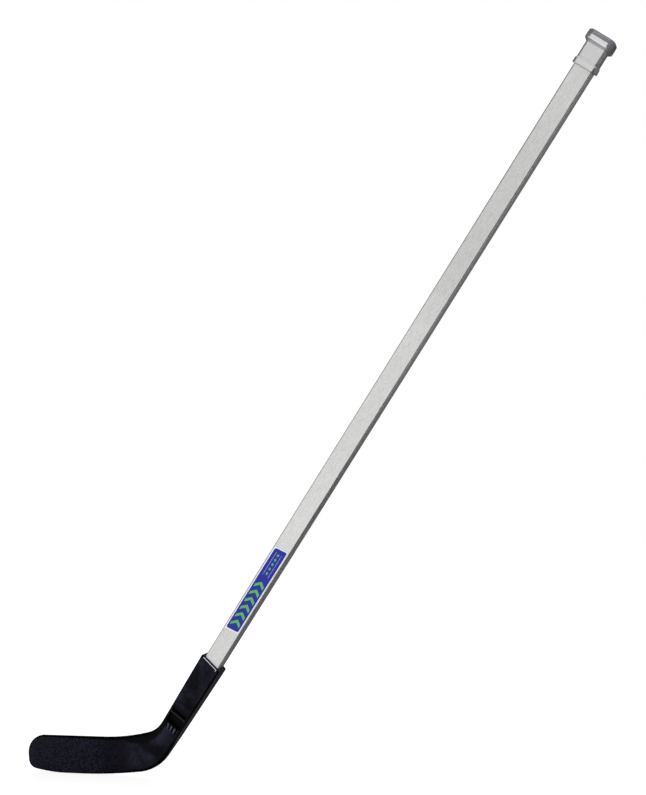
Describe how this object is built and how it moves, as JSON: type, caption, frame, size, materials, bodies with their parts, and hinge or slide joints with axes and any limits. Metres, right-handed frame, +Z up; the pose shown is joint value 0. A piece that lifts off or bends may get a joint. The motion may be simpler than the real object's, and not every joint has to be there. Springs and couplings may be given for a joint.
{
  "type": "floor hockey stick",
  "caption": "Floor hockey stick: rectangular aluminium tube shaft with a push-on butt cap, screwed into the socket of a moulded plastic blade with a ribbed neck pocket.",
  "frame": {"origin": "middle of the flat stretch of the blade's sole, on the floor, midway between the blade's faces", "axes": "+Z up with the stick stood on its sole as it is played, +X from the toe towards the heel and the shaft, +Y from the labelled front face towards the back"},
  "size_m": [1.093, 0.0346, 1.0942],
  "materials": {
    "shaft_aluminium": "lengthwise brushed, clear anodised",
    "blade_plastic": "moulded black plastic, satin, pebbled towards the toe",
    "cap_plastic": "moulded grey plastic, satin",
    "label_film": "printed film, blue with green motifs",
    "screw_steel": "zinc plated"
  },
  "bodies": {
    "root": {"shaft": "shaft_aluminium", "blade": "blade_plastic", "butt_cap": "cap_plastic", "label": "label_film", "upper_screw": "screw_steel", "lower_screw": "screw_steel"}
  },
  "joints": []
}
